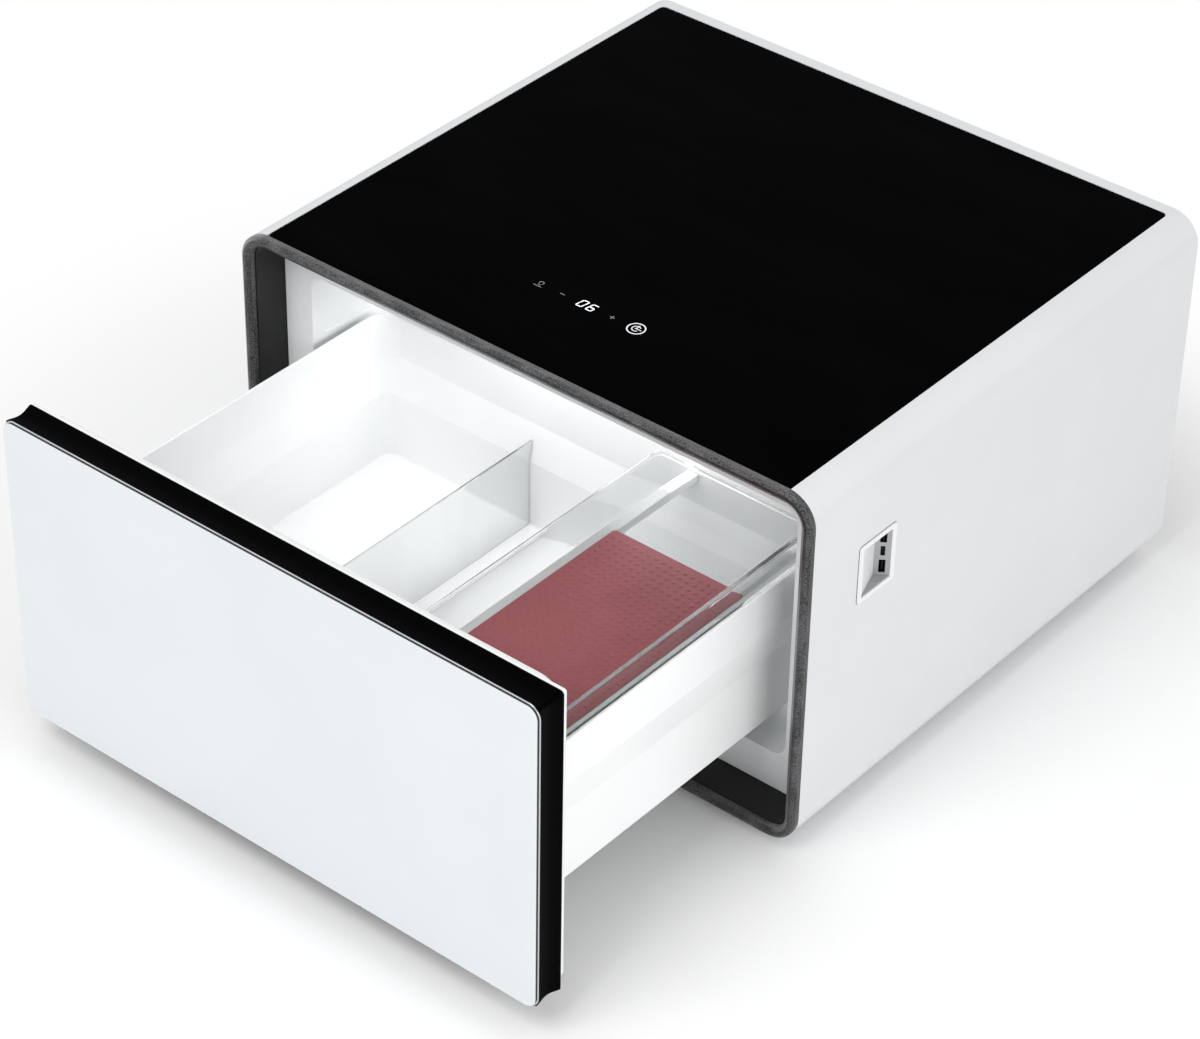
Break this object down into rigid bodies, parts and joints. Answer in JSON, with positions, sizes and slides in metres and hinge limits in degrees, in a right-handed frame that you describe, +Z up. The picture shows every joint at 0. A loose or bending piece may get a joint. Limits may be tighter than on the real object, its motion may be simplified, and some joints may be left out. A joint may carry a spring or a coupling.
{
  "type": "refrigerator nightstand",
  "caption": "Low white bedside refrigerator with a black glass top, touch display, side power socket and one full-extension cooling drawer.",
  "frame": {"origin": "on the floor below the middle of the cabinet, drawer not counted", "axes": "+Z up, +Y to the back, +X to the right as seen from the front; the drawer opens along -Y"},
  "size_m": [0.6512, 0.905, 0.385],
  "materials": {
    "shell_white": "gloss white moulded shell",
    "liner_white": "satin white vacuum-formed liner",
    "tub_white": "satin white moulded tub",
    "top_black_glass": "polished black glass",
    "front_white_glass": "polished glass, backed white",
    "trim_grey_metal": "dark grey textured metal",
    "bead_silver": "satin bright bead",
    "black_plastic": "fine-grained black plastic",
    "foam": "rigid insulation foam",
    "galvanised": "zinc-plated sheet steel",
    "screw_steel": "plated screws",
    "black_rubber": "black rubber",
    "gasket_grey": "pale soft gasket",
    "copper": "copper tube",
    "coil_copper": "flat wound copper coil on a ferrite plate",
    "circuit_board": "printed circuit board",
    "legend_white": "lit white legend",
    "clear_plastic": "clear moulded plastic",
    "mat_red": "dusty red mat",
    "socket_white": "white socket bezel",
    "socket_grey": "light grey cup",
    "port_grey": "mid grey port plate",
    "port_steel": "port shells",
    "compressor_black": "black enamelled steel",
    "condenser_black": "dark painted tube and fins",
    "evaporator_aluminium": "roll-bond aluminium",
    "grey_plastic": "grey plastic",
    "lamp_diffuser": "milky diffuser"
  },
  "bodies": {
    "cabinet": {"outer_shell": "shell_white", "top_glass": "top_black_glass", "top_deck": "galvanised", "front_trim": "trim_grey_metal", "recess_surround": "black_plastic", "inner_liner": "liner_white", "insulation_foam": "foam", "back_panel": "galvanised", "machine_tray": "galvanised", "foot_front_left": "black_rubber", "foot_front_right": "black_rubber", "foot_rear_left": "black_rubber", "foot_rear_right": "black_rubber", "foot_screws": "screw_steel", "rear_screws": "screw_steel", "charging_coil": "coil_copper", "top_boards": "circuit_board", "display_legend": "legend_white", "socket_bezel": "socket_white", "socket_cup": "socket_grey", "port_plate": "port_grey", "usb_a_port": "port_steel", "usb_c_port": "port_steel", "usb_top_port": "port_steel", "socket_board": "circuit_board", "compressor": "compressor_black", "compressor_mounts": "black_rubber", "condenser_coil": "condenser_black", "fan_frame": "black_plastic", "evaporator_plate": "evaporator_aluminium", "refrigerant_lines": "copper", "evaporation_tray": "grey_plastic", "control_box": "grey_plastic", "control_board": "circuit_board", "power_inlet": "black_plastic", "interior_lamp": "lamp_diffuser", "temperature_sensor": "liner_white", "rail_bracket_left": "galvanised", "rail_bracket_right": "galvanised", "cabinet_rail_left": "galvanised", "cabinet_rail_right": "galvanised"},
    "slide_left": {"middle_rail_left": "galvanised"},
    "slide_right": {"middle_rail_right": "galvanised"},
    "drawer": {"drawer_rail_left": "galvanised", "drawer_rail_right": "galvanised", "slide_hanger_left": "galvanised", "slide_hanger_right": "galvanised", "front_glass": "front_white_glass", "front_bead": "bead_silver", "front_frame": "black_plastic", "front_foam": "foam", "front_inner_panel": "liner_white", "door_gasket": "gasket_grey", "drawer_tub": "tub_white", "tub_screws": "screw_steel", "tray_rails": "tub_white"},
    "bin": {"fruit_bin": "clear_plastic", "bin_mat": "mat_red"},
    "divider": {"clear_divider": "clear_plastic"},
    "fan": {"fan_rotor": "black_plastic"}
  },
  "joints": [
    {"name": "drawer_slide", "type": "slide", "parent": "cabinet", "child": "drawer", "axis": [0, -1, 0], "range_m": [-0.317, 0.083]},
    {"name": "middle_slide_left", "type": "slide", "parent": "cabinet", "child": "slide_left", "axis": [0, -1, 0], "range_m": [-0.1585, 0.0415]},
    {"name": "middle_slide_right", "type": "slide", "parent": "cabinet", "child": "slide_right", "axis": [0, -1, 0], "range_m": [-0.1585, 0.0415]},
    {"name": "bin_lift", "type": "slide", "parent": "drawer", "child": "bin", "axis": [0, 0, 1], "range_m": [0, 0.04]},
    {"name": "divider_lift", "type": "slide", "parent": "drawer", "child": "divider", "axis": [0, 0, 1], "range_m": [0, 0.09]},
    {"name": "fan_spin", "type": "hinge", "parent": "cabinet", "child": "fan", "pos_m": [-0.082, 0.244, 0.058], "axis": [1, 0, 0], "continuous": true}
  ],
  "couplings": [
    {"joint": "middle_slide_left", "follows": "drawer_slide", "ratio": 0.5},
    {"joint": "middle_slide_right", "follows": "drawer_slide", "ratio": 0.5}
  ]
}
